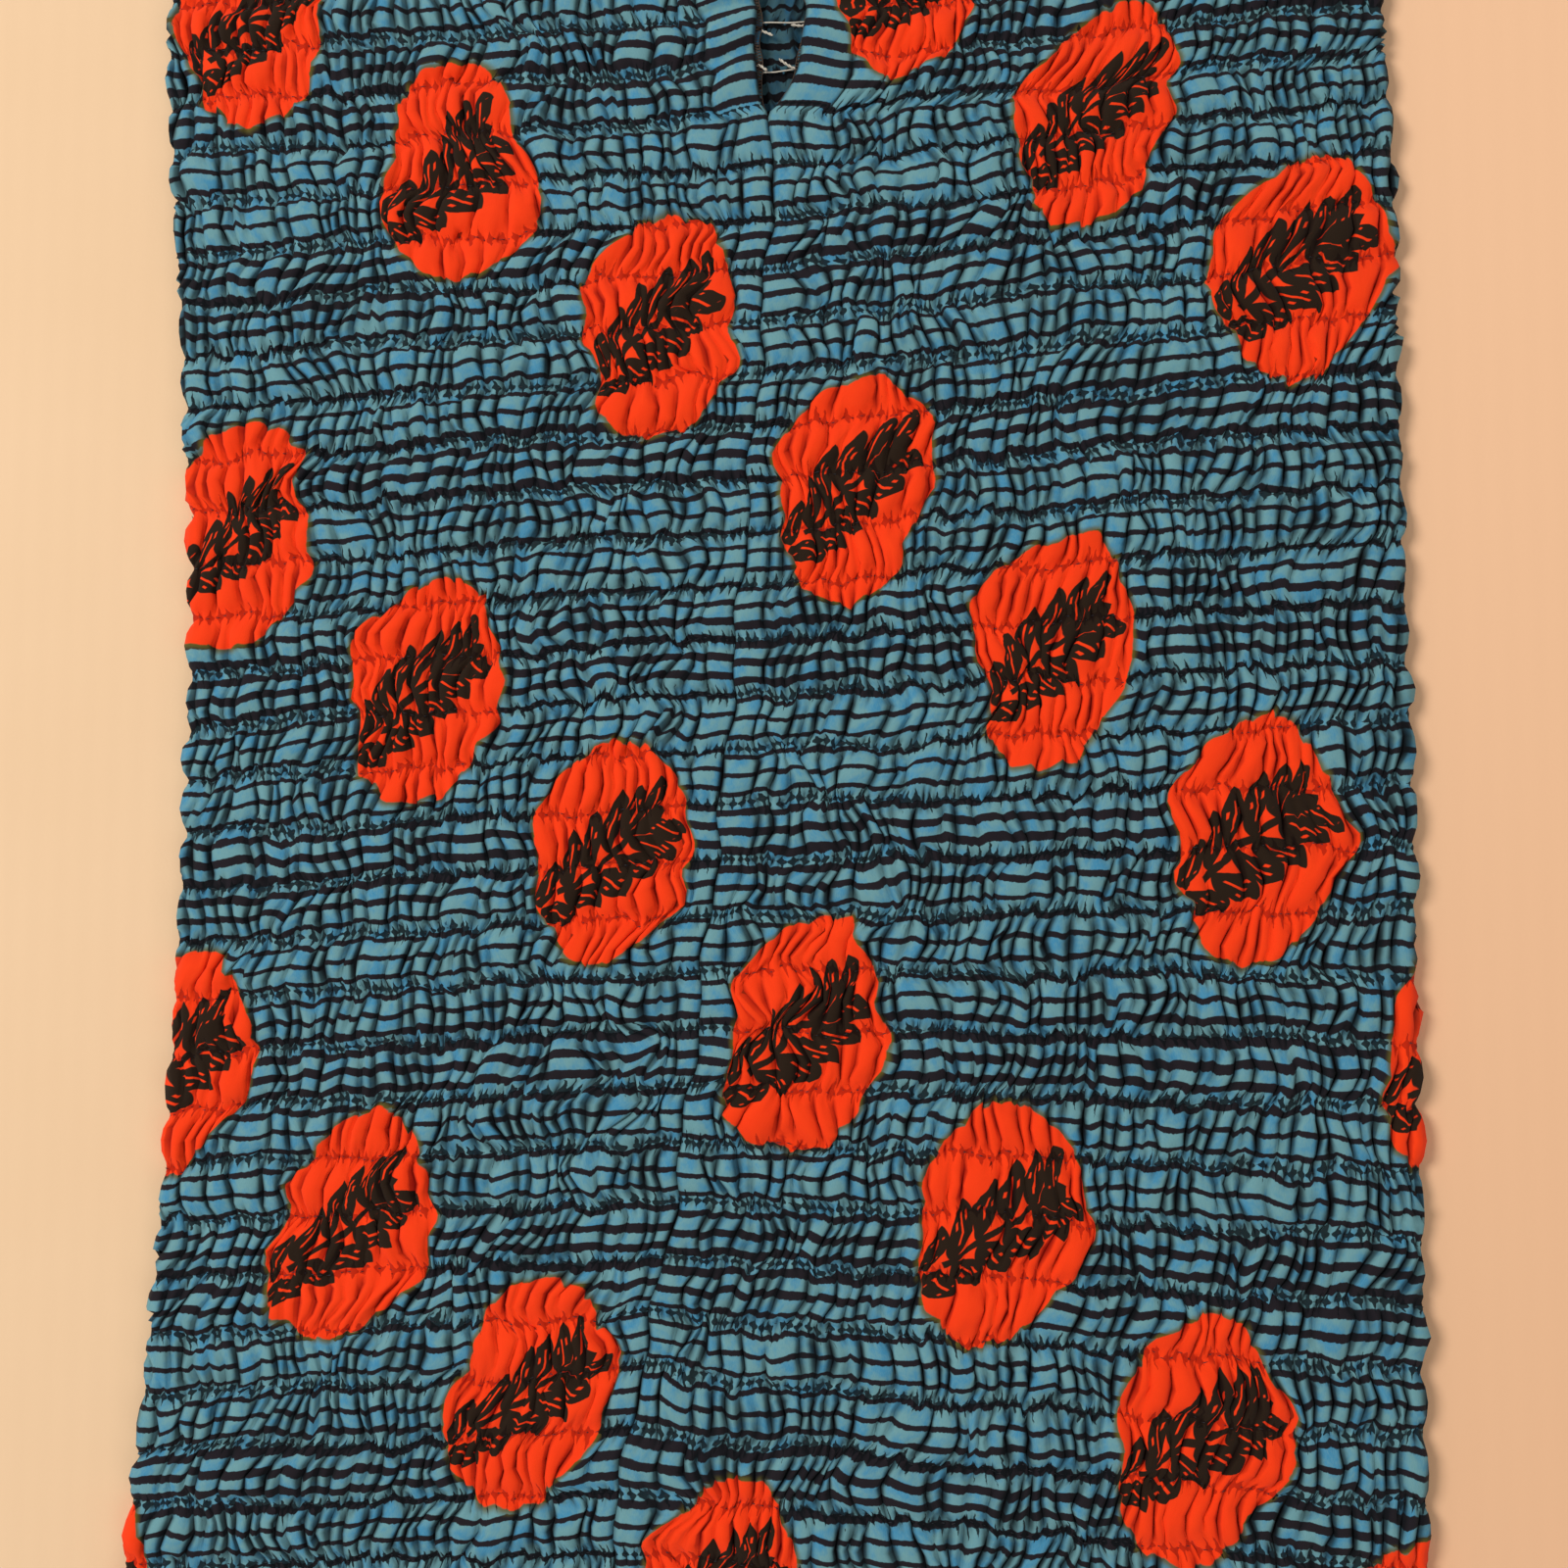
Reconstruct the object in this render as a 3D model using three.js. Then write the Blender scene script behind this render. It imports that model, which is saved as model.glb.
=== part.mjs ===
// A shirred tube dress in wax print cotton, laid flat on its back.
//
// The dress is cut in two halves, left and right as seen from above. Each half wraps round its own side,
// and they are sewn together down the centre front and the centre back. Rows of elastic thread run round
// the whole tube, so every layer is a run of soft puffs with a pinched row between one and the next. The
// front seam stops short of the top edge and leaves a slit. The tube has twisted a little as it was laid,
// so the front seam leans to the left on its way down, and the back seam leans the other way under it.
//
// Units are millimetres. +X is to the right, +Y towards the neckline and +Z up from the table.

import * as THREE from "three";

// Driving dimensions
const dressLength = 800;
const topHeading = 10; // plain cloth above the first shirring row
const hemDepth = 16; // plain cloth below the last shirring row
const puffCount = 47;
const firstPuff = 15.3; // spacing of the shirring rows at the neckline
const lastPuff = 17.64; // and at the hem
const wall = 3; // depth of one gathered layer
const layerGap = 0.6; // between the two layers at a pinched row
const puffLift = 2; // how far a puff's crest stands above a pinched row
const sidePinch = 2.6; // how far a pinched row pulls the side fold in
const edgeLift = 0.4; // of puffLift, at the top edge and at the hem
const seamGap = 0.3;
const slitDepth = 121; // from the top edge to the foot of the slit
const slitHalfWidth = 8.2;
const slitOpening = 7; // length over which the slit opens to its width
const foldSteps = 4; // facets round each side fold

// The outline down the dress: where the side folds and the front seam lie, and how far the shirring rows
// climb from the front seam to each side fold.
const outline = [
  { y: 400, left: -184, right: 184, seam: 4, climbLeft: 0, climbRight: 0 },
  { y: 320, left: -189, right: 184, seam: 4, climbLeft: -4, climbRight: 10 },
  { y: 240, left: -184, right: 187, seam: 1, climbLeft: -6, climbRight: 15 },
  { y: 150, left: -178, right: 187, seam: -6, climbLeft: -8, climbRight: 11 },
  { y: 60, left: -179, right: 188, seam: -14, climbLeft: -9, climbRight: 4 },
  { y: -40, left: -183, right: 188, seam: -26, climbLeft: -9, climbRight: -8 },
  { y: -140, left: -191, right: 188, seam: -44, climbLeft: -8, climbRight: -15 },
  { y: -260, left: -197, right: 193, seam: -58, climbLeft: -4, climbRight: -9 },
  { y: -400, left: -200, right: 200, seam: -66, climbLeft: 0, climbRight: 0 },
];

// A column of the outline at any y, on a smooth curve through its rows.
function alongDress(column, y) {
  let below = 1;
  while (below < outline.length - 1 && outline[below].y > y) below += 1;
  const above = below - 1;
  const slopeAt = (i) => {
    const high = outline[Math.max(i - 1, 0)];
    const low = outline[Math.min(i + 1, outline.length - 1)];
    return (low[column] - high[column]) / (low.y - high.y);
  };
  const span = outline[below].y - outline[above].y;
  const t = (y - outline[above].y) / span;
  const ease = t * t * (3 - 2 * t);
  const startBend = t * (1 - t) * (1 - t) * span * slopeAt(above);
  const endBend = t * t * (1 - t) * span * slopeAt(below);
  return outline[above][column] * (1 - ease) + outline[below][column] * ease + startBend - endBend;
}

// The stations of the loft, from the top edge to the hem. lift is 0 at a pinched row and 1 at a puff's crest.
function makeStations() {
  const stations = [{ y: dressLength / 2, lift: edgeLift }];
  let y = dressLength / 2 - topHeading;
  stations.push({ y, lift: 0 });
  for (let puff = 0; puff < puffCount; puff += 1) {
    const depth = firstPuff + ((lastPuff - firstPuff) * puff) / (puffCount - 1);
    stations.push({ y: y - depth / 2, lift: 1 });
    y -= depth;
    stations.push({ y, lift: 0 });
  }
  stations.push({ y: -dressLength / 2, lift: edgeLift });
  return stations;
}

const stations = makeStations();
const lastRow = stations[stations.length - 2].y;
if (Math.abs(lastRow + dressLength / 2 - hemDepth) > 0.5) throw new Error("the puffs don't fill the length");

// Half the gap between the two halves at the centre front: a seam, and the slit above it.
function frontGap(y) {
  const above = y - (dressLength / 2 - slitDepth);
  if (above <= 0) return seamGap / 2;
  return seamGap / 2 + slitHalfWidth * (1 - Math.exp(-above / slitOpening));
}

// One section of a half, as pairs of an outer and an inner point, from the front seam over the side fold
// to the back seam. side is -1 for the left half and 1 for the right.
function sectionOf(side, { y, lift }) {
  const fold = alongDress(side < 0 ? "left" : "right", y) - side * sidePinch * (1 - lift);
  const climb = alongDress(side < 0 ? "climbLeft" : "climbRight", y);
  const seam = alongDress("seam", y);
  const backSeam = alongDress("left", y) + alongDress("right", y) - seam;
  const top = 2 * wall + layerGap + puffLift * lift;
  const radius = top / 2;
  const foldCentre = fold - side * radius;
  const pairs = [];
  const flatRun = (edge, from, to, outerZ, innerZ) => {
    for (const t of [from, (from + to) / 2, to]) {
      const x = edge + (foldCentre - edge) * t;
      pairs.push({ outer: [x, y + climb * t, outerZ], inner: [x, y + climb * t, innerZ] });
    }
  };
  flatRun(seam + side * frontGap(y), 0, 1, top, top - wall);
  for (let step = 1; step < foldSteps; step += 1) {
    const angle = (Math.PI * step) / foldSteps;
    const round = (r) => [foldCentre + side * r * Math.sin(angle), y + climb, radius + r * Math.cos(angle)];
    pairs.push({ outer: round(radius), inner: round(radius - wall) });
  }
  flatRun(backSeam + (side * seamGap) / 2, 1, 0, 0, wall);
  return pairs;
}

// A closed shell through the sections: its outer and inner faces, its two seam edges and its two ends.
function loft(sections, side) {
  const across = sections[0].length;
  const points = [];
  for (const pairs of sections) {
    for (const pair of pairs) points.push(...pair.outer);
    for (const pair of pairs) points.push(...pair.inner);
  }
  const faces = [];
  const quad = (a, b, c, d) => {
    if (side < 0) faces.push(a, b, c, a, c, d);
    else faces.push(a, c, b, a, d, c);
  };
  const outerAt = (station, i) => station * across * 2 + i;
  const innerAt = (station, i) => outerAt(station, i) + across;
  for (let s = 0; s < sections.length - 1; s += 1) {
    for (let i = 0; i < across - 1; i += 1) {
      quad(outerAt(s, i), outerAt(s, i + 1), outerAt(s + 1, i + 1), outerAt(s + 1, i));
      quad(innerAt(s, i), innerAt(s + 1, i), innerAt(s + 1, i + 1), innerAt(s, i + 1));
    }
    quad(outerAt(s, 0), outerAt(s + 1, 0), innerAt(s + 1, 0), innerAt(s, 0));
    const end = across - 1;
    quad(outerAt(s, end), innerAt(s, end), innerAt(s + 1, end), outerAt(s + 1, end));
  }
  const last = sections.length - 1;
  for (let i = 0; i < across - 1; i += 1) {
    quad(outerAt(0, i), innerAt(0, i), innerAt(0, i + 1), outerAt(0, i + 1));
    quad(outerAt(last, i), outerAt(last, i + 1), innerAt(last, i + 1), innerAt(last, i));
  }
  const geometry = new THREE.BufferGeometry();
  geometry.setAttribute("position", new THREE.Float32BufferAttribute(points, 3));
  geometry.setIndex(faces);
  geometry.computeVertexNormals();
  return geometry;
}

const waxPrintCotton = new THREE.MeshStandardMaterial({ color: 0x4f7f92, roughness: 0.85, metalness: 0 });

function makeHalf(name, side) {
  const sections = stations.map((station) => sectionOf(side, station));
  const half = new THREE.Mesh(loft(sections, side), waxPrintCotton.clone());
  half.name = name;
  return half;
}

const dress = new THREE.Group();
dress.add(makeHalf("left_half", -1));
dress.add(makeHalf("right_half", 1));

export default dress;
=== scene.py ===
"""A shirred tube dress in wax print cotton, laid flat on its back, for Blender 4.5.

Each half of the dress is gathered cloth that runs from the centre front round its side to the centre
back. It is made as a thin shell in two pieces, one for the front layer and one for the back layer, which
meet in the bottom of a fold. Rows of elastic thread draw it into puffs, and every puff into upright
folds. The elastic threads, their loose ends, the stitches of every row and the overlocked edges that are
turned in at the slit are pieces of their own.

Sizes are in millimetres until a mesh is made. +X is to the right, +Y towards the neckline, +Z up.
"""

import math

import bpy
import numpy as np
from mathutils import Matrix, Vector


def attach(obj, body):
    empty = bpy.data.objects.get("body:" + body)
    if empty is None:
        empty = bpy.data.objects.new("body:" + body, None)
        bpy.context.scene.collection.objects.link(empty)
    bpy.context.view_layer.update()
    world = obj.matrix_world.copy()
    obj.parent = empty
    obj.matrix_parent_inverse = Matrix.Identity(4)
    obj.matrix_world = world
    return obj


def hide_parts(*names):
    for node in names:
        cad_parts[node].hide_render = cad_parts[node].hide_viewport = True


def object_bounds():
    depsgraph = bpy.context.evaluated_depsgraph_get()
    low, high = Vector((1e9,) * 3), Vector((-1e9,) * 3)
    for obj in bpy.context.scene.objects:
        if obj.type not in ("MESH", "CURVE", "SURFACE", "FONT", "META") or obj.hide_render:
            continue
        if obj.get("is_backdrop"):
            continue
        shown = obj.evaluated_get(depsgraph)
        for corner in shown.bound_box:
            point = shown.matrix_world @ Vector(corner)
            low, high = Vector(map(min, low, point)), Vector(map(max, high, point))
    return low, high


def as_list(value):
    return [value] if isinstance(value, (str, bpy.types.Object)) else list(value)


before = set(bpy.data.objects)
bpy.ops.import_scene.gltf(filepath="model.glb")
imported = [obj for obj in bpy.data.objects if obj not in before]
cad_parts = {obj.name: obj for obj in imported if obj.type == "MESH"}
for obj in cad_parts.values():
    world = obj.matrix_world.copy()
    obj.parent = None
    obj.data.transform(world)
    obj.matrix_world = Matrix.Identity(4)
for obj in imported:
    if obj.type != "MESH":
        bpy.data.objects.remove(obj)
cad_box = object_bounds()

MM = 0.001

# The dress, with the sizes of its CAD part
DRESS_LENGTH = 800
TOP_HEADING = 10
HEM_DEPTH = 16
PUFF_COUNT = 47
FIRST_PUFF = 15.3
LAST_PUFF = 17.64
SLIT_DEPTH = 121
SLIT_FOOT = DRESS_LENGTH / 2 - SLIT_DEPTH
SLIT_HALF_WIDTH = 7.6
SLIT_OPENING = 7
SEAM_GAP = 0.1

# Where the side folds and the front seam lie, and how far the shirring rows climb from seam to side fold
OUTLINE = (
    {"y": 400, "left": -184, "right": 184, "seam": 4, "climb_left": 0, "climb_right": 0},
    {"y": 320, "left": -189, "right": 184, "seam": 4, "climb_left": -4, "climb_right": 10},
    {"y": 240, "left": -184, "right": 187, "seam": 1, "climb_left": -6, "climb_right": 15},
    {"y": 150, "left": -178, "right": 187, "seam": -6, "climb_left": -8, "climb_right": 11},
    {"y": 60, "left": -179, "right": 188, "seam": -14, "climb_left": -9, "climb_right": 4},
    {"y": -40, "left": -183, "right": 188, "seam": -26, "climb_left": -9, "climb_right": -8},
    {"y": -140, "left": -191, "right": 188, "seam": -44, "climb_left": -8, "climb_right": -15},
    {"y": -260, "left": -197, "right": 193, "seam": -58, "climb_left": -4, "climb_right": -9},
    {"y": -400, "left": -200, "right": 200, "seam": -66, "climb_left": 0, "climb_right": 0},
)

# The cloth
CLOTH = 0.45  # thickness of the shell
COLUMNS = 424  # of the grid over one half, from the front seam to the back seam
SPLIT = COLUMNS // 2  # column where the front piece ends and the back piece starts
COLUMN_WIDTH = 0.9  # about, as laid
FLAT_COLUMN = 1.3  # and of flat cloth
TAKE_UP = 1.05  # flat length of a puff over its laid length
TOP_LAYER = 5.2  # height of the front layer's creases at a shirring row
BACK_LAYER = 3.15  # and of the back layer's
PUFF_RISE = 0.5  # how far the front layer's creases stand higher in the middle of a puff
FOLD_HEIGHT = 3.2  # of the highest folds
FOLD_STEEPNESS = 0.67  # height of a fold over its width
FOLD_WIDTHS = (4, 6, 8, 10, 12)  # in columns
FOLD_SHARES = (0.34, 0.32, 0.20, 0.10, 0.04)
CREASES_KEPT = 0.68  # share of a puff's creases that run on into the puff below
GATHER_HEIGHT = 1.5  # of the highest small gathers at a shirring row
GATHER_REACH = 2.6  # how far they reach from the row
SEAM_FOLD = 12  # most columns in the plain fold beside each seam
SLIT_FOLD = 18  # columns in the smooth strip beside the slit, which isn't shirred
SLIT_PUFFS = 7  # puffs that the slit runs through
SLIT_PULL = 7.5  # how far the cloth is pulled up beside the slit
SEAM_PULL = 3.5  # and beside the seam lower down
ALLOWANCE = 8  # width of the edge turned in at the slit

# The rows of the grid, as shares of a puff's depth. They are closer above CLOSE_UP_END than below it.
CLOSE_UP_END = -165
CLOSE_STEPS = (0, 0.07, 0.15, 0.27, 0.5, 0.73, 0.85, 0.93)
WIDE_STEPS = (0, 0.09, 0.25, 0.5, 0.75, 0.91)
HEADING_STEPS = 4
HEM_STEPS = 6


def along_dress(column, y):
    """A column of the outline at each y, on the same smooth curve as the CAD part's."""
    heights = np.array([row["y"] for row in reversed(OUTLINE)], float)
    values = np.array([row[column] for row in reversed(OUTLINE)], float)
    last = len(heights) - 1
    before = np.maximum(np.arange(last + 1) - 1, 0)
    after = np.minimum(np.arange(last + 1) + 1, last)
    slopes = (values[after] - values[before]) / (heights[after] - heights[before])
    low = np.clip(np.searchsorted(heights, y) - 1, 0, last - 1)
    span = heights[low + 1] - heights[low]
    t = (y - heights[low]) / span
    ease = t * t * (3 - 2 * t)
    bend = t * (1 - t) ** 2 * span * slopes[low] - t * t * (1 - t) * span * slopes[low + 1]
    return values[low] * (1 - ease) + values[low + 1] * ease + bend


def bell(distance, width):
    return np.exp(-((distance / width) ** 2))


def lay_out_rows():
    """The grid's rows from the top edge to the hem.

    Returns a dict of arrays: y, the puff that the row is in, how far down that puff it lies from 0 to 1,
    and the length of flat cloth above it. Also the y of each shirring row. A puff has an even number of
    grid rows, so that every shirring row is on an even one.
    """
    y, puffs, shares, flat = [], [], [], []
    shirring = [DRESS_LENGTH / 2 - TOP_HEADING]
    cloth_above = TOP_HEADING

    def add(at, puff, share, length):
        y.append(at)
        puffs.append(puff)
        shares.append(share)
        flat.append(length)

    for step in range(HEADING_STEPS):
        share = step / HEADING_STEPS
        add(DRESS_LENGTH / 2 - share * TOP_HEADING, -1, share, share * TOP_HEADING)
    for puff in range(PUFF_COUNT):
        depth = FIRST_PUFF + (LAST_PUFF - FIRST_PUFF) * puff / (PUFF_COUNT - 1)
        for share in CLOSE_STEPS if shirring[-1] > CLOSE_UP_END else WIDE_STEPS:
            add(shirring[-1] - share * depth, puff, share, cloth_above + share * depth * TAKE_UP)
        cloth_above += depth * TAKE_UP
        shirring.append(shirring[-1] - depth)
    for step in range(HEM_STEPS + 1):
        share = step / HEM_STEPS
        add(shirring[-1] - share * HEM_DEPTH, PUFF_COUNT, share, cloth_above + share * HEM_DEPTH)
    columns = {"y": y, "puff": puffs, "share": shares, "flat": flat}
    return {name: np.array(values) for name, values in columns.items()}, np.array(shirring)


rows, shirring_rows = lay_out_rows()
UNGATHERED = 9.0  # stands for the distance from a shirring row where there is no shirring
seam_rises = np.random.default_rng(3).uniform(0.2, 1.7, PUFF_COUNT + 2)


def choose_creases(rng, above, beside_slit):
    """The columns where a puff is creased, all even. Most creases run on from the puff above."""
    first, last = SEAM_FOLD - 2 * rng.integers(0, 3, 2)
    if beside_slit:
        first = SLIT_FOLD
    fixed = [0, int(first), SPLIT, COLUMNS - int(last), COLUMNS]
    kept = []
    for column in above:
        if column in fixed or rng.random() > CREASES_KEPT:
            continue
        kept.append(int(column + 2 * rng.choice((-1, 0, 0, 0, 0, 1))))
    narrowest, common, widest = FOLD_WIDTHS[0], FOLD_WIDTHS[1], FOLD_WIDTHS[-1]
    chosen = []
    for column in sorted(set(kept + fixed)):
        if column in fixed:
            while chosen and column - chosen[-1] < narrowest and chosen[-1] not in fixed:
                chosen.pop()
            chosen.append(column)
        elif not chosen or column - chosen[-1] >= narrowest:
            chosen.append(column)
    creases = [0]
    for column in chosen[1:]:
        while column > first and (
            column - creases[-1] > widest or (column - creases[-1] > common and rng.random() < 0.7)
        ):
            width = int(rng.choice(FOLD_WIDTHS, p=FOLD_SHARES))
            room = column - creases[-1] - narrowest
            creases.append(creases[-1] + max(narrowest, min(width, room)))
        creases.append(column)
    return np.array(sorted(set(creases)))


def choose_gathers(rng, creases_above, creases_below, beside_slit):
    """The columns where a shirring row is pinched: every crease that reaches it, and more between."""
    valleys = sorted(set(creases_above) | set(creases_below))
    plain = SLIT_FOLD if beside_slit else 0
    pinched = [valleys[0]]
    for column in valleys[1:]:
        if column <= plain < valleys[-1]:
            if column == plain:
                pinched.append(column)
            continue
        while column - pinched[-1] > 4 or (column - pinched[-1] == 4 and rng.random() < 0.35):
            pinched.append(pinched[-1] + int(rng.choice((2, 4), p=(0.4, 0.6))))
        if column > pinched[-1]:
            pinched.append(column)
    return np.array(sorted(set(pinched)))


def between(valleys):
    """For every column: the number of the valley before it, how many columns lie from that valley to the
    next, and how far the column is between the two, from 0 to 1."""
    columns = np.arange(COLUMNS + 1)
    before = np.clip(np.searchsorted(valleys, columns, side="right") - 1, 0, len(valleys) - 2)
    start, end = valleys[before], valleys[before + 1]
    return before, end - start, (columns - start) / (end - start)


def marks_at(valleys, strength, beside):
    """1 in the valleys and less in the columns beside them, times each valley's strength."""
    marks = np.zeros(COLUMNS + 1)
    for away, share in enumerate((1.0, *beside)):
        for at in (np.maximum(valleys - away, 0), np.minimum(valleys + away, COLUMNS)):
            marks[at] = np.maximum(marks[at], strength * share)
    return marks


def fold_puff(rng, creases, seam_rise):
    """What a puff needs to be shaped at any share of its depth: how deep each crease is at the top and
    the bottom of the puff, and each fold's height and tilt. The puff's edges at the seams stand seam_rise
    above its creases."""
    count = len(creases)
    begins = rng.uniform(0.75, 1, count)
    ends = rng.uniform(0.75, 1, count)
    fading = rng.random(count)
    begins[fading < 0.1] = 0.1
    ends[fading > 0.9] = 0.1
    widths = np.diff(creases) * COLUMN_WIDTH
    heights = np.minimum(FOLD_STEEPNESS * widths, FOLD_HEIGHT) * rng.uniform(0.85, 1.05, count - 1)
    for ways in (begins, ends):
        ways[creases == SPLIT] = 1
        ways[0] = 1 - seam_rise / heights[0]
        ways[-1] = 1 - seam_rise / heights[-1]
    return {
        "creases": creases,
        "begins": begins,
        "ends": ends,
        "heights": heights,
        "lift": rng.normal(0, 0.55, count - 1),
        "lean": rng.normal(0, 0.8, count - 1),
    }


def shape_puff(puff, share):
    """The folds of a puff at a share of its depth: their rise, sideways shift, lift along y and marks.
    The marks are used only as painted shade in the creases.
    """
    before, width, t = between(puff["creases"])
    strength = puff["begins"] * (1 - share) + puff["ends"] * share
    heights = puff["heights"]
    lowest = np.minimum(np.append(heights, heights[-1]), np.insert(heights, 0, heights[0]))
    floor = (1 - strength) * lowest
    height = heights[before]
    base = (floor[before] * (1 - t) + floor[before + 1] * t) / height
    arch = np.sin(np.pi * np.clip(t, 0, 1)) ** 0.5
    rise = height * (base + (1 - base) * arch)
    grip = strength[before] * (1 - t) + strength[before + 1] * t
    shift = width * COLUMN_WIDTH / 2 * ((1 - np.cos(np.pi * t)) - 2 * t) * 0.7 * grip
    lift = puff["lift"][before] + puff["lean"][before] * (2 * t - 1)
    lift = lift * np.clip(4 * np.minimum(t, 1 - t), 0, 1)
    return rise, shift, lift, marks_at(puff["creases"], strength, (0.8, 0.3))


def gather_row(rng, valleys):
    """The small gathers at a shirring row: their rise, and how far each valley reaches from the row."""
    before, width, t = between(valleys)
    count = len(valleys)
    heights = np.minimum(0.5 * width * COLUMN_WIDTH, GATHER_HEIGHT)
    heights = heights * rng.uniform(0.6, 1.1, count - 1)[before]
    rise = heights * np.sin(np.pi * np.clip(t, 0, 1)) ** 0.7
    reach = rng.uniform(1.4, 4.4, count)
    reaches = np.ones(COLUMNS + 1)
    for offset in (-1, 1, 0):
        reaches[np.clip(valleys + offset, 0, COLUMNS)] = reach
    lift = rng.normal(0, 0.6, count - 1)[before]
    lift = lift + rng.normal(0, 0.5, count - 1)[before] * (2 * t - 1)
    marks = marks_at(valleys, rng.uniform(0.55, 1, count), (0.35,))
    return {"rise": rise, "marks": marks, "reaches": reaches, "lift": lift}


def gather_half(rng):
    """The gathers of one half, over its whole grid: arrays with a value for each row and column."""
    creases = [choose_creases(rng, [], True)]
    for puff in range(PUFF_COUNT + 1):
        creases.append(choose_creases(rng, creases[-1], puff < SLIT_PUFFS))
    puffs = [fold_puff(rng, found, rise) for found, rise in zip(creases, seam_rises)]
    gathers = [
        gather_row(rng, choose_gathers(rng, creases[row], creases[row + 1], row <= SLIT_PUFFS))
        for row in range(PUFF_COUNT + 1)
    ]
    shape = {name: [] for name in ("rise", "shift", "lift", "crease", "swell", "from_row")}
    for y, puff, share in zip(rows["y"], rows["puff"], rows["share"]):
        if puff < 0:
            swell = 0.75 * math.sin(math.pi / 2 * (1 - share)) ** 0.6
        elif puff == PUFF_COUNT:
            swell = 0.7 * math.sin(math.pi / 2 * share) ** 0.6
        else:
            swell = max(math.sin(math.pi * share), 0) ** 0.6
        rise, shift, lift, marks = shape_puff(puffs[puff + 1], share)
        marks = marks * swell**0.4
        lift = lift * swell
        small = np.zeros(COLUMNS + 1)
        for row in (puff, puff + 1):
            if not 0 <= row <= PUFF_COUNT:
                continue
            away = abs(y - shirring_rows[row])
            notch = gathers[row]["marks"] * bell(away, gathers[row]["reaches"])
            rise = rise * (1 - 0.8 * notch)
            small = np.maximum(small, gathers[row]["rise"] * bell(away, GATHER_REACH))
            marks = np.maximum(marks, notch)
            lift = lift + gathers[row]["lift"] * bell(away, 3.0)
        shape["rise"].append(np.maximum(swell * rise, small))
        shape["shift"].append(swell * shift)
        shape["lift"].append(lift)
        # The creases' marks, which the shader paints as shade
        shape["crease"].append(marks)
        shape["swell"].append(np.full(COLUMNS + 1, swell))
        from_row = np.full(COLUMNS + 1, np.min(np.abs(y - shirring_rows)))
        if puff < SLIT_PUFFS:
            from_row[:SLIT_FOLD] = UNGATHERED
        shape["from_row"].append(from_row)
    return {name: np.array(values) for name, values in shape.items()}


def ripple(rng, across, down, across_lengths, down_lengths, count=7):
    """Smooth uneven waves from -1 to 1 or so over two coordinates."""
    total = 0
    for _ in range(count):
        slant = rng.choice((-1, 1))
        waves = across / rng.uniform(*across_lengths) + slant * down / rng.uniform(*down_lengths)
        total = total + np.sin(2 * np.pi * (waves + rng.random()))
    return total / math.sqrt(count)


def seam_wobble(y):
    return 1.2 * np.sin(y / 7.9 + 1) + 0.6 * np.sin(y / 3.3 + 2)


def laid(side, share, shift, y, rise, swell):
    """Points on the laid half. share runs from 0 at the front seam to 1 at the back seam. rise is the
    height above the creases, outwards from the tube."""
    fold = along_dress("left" if side < 0 else "right", y) - side * FOLD_HEIGHT
    climb = along_dress("climb_left" if side < 0 else "climb_right", y)
    seam = along_dress("seam", y) + seam_wobble(y)
    back_seam = along_dress("left", y) + along_dress("right", y) - seam
    above_foot = np.maximum(y - SLIT_FOOT, 0)
    gap = SEAM_GAP / 2 + SLIT_HALF_WIDTH * (1 - np.exp(-above_foot / SLIT_OPENING))
    top = TOP_LAYER + PUFF_RISE * swell
    bottom = BACK_LAYER - 0.2 * swell
    radius = (top - bottom) / 2
    centre = fold - side * radius
    front_run = np.abs(centre - (seam + side * gap))
    back_run = np.abs(centre - (back_seam + side * SEAM_GAP / 2))
    along = share * (front_run + np.pi * radius + back_run) + shift
    angle = np.clip((along - front_run) / radius, 0, np.pi)
    past = np.maximum(along - front_run - np.pi * radius, 0)
    flat_front = np.minimum(along - front_run, 0)
    reach = (radius + rise) * np.sin(angle)
    x = centre + side * (flat_front - past + reach)
    z = (top + bottom) / 2 + (radius + rise) * np.cos(angle)
    slope = np.clip((x - seam) / (fold - seam), -0.2, 1.05)
    beside_slit = bell(np.abs(x - seam), 20) * bell(y - 300, 26)
    beside_seam = bell(np.abs(x - seam), 14) * bell(y + 92, 22)
    front = angle < np.pi / 2
    pulled = np.where(front, SLIT_PULL * beside_slit + SEAM_PULL * beside_seam, 0)
    return np.stack([x, y + climb * slope + pulled, np.maximum(z, 0)], axis=-1)


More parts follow.
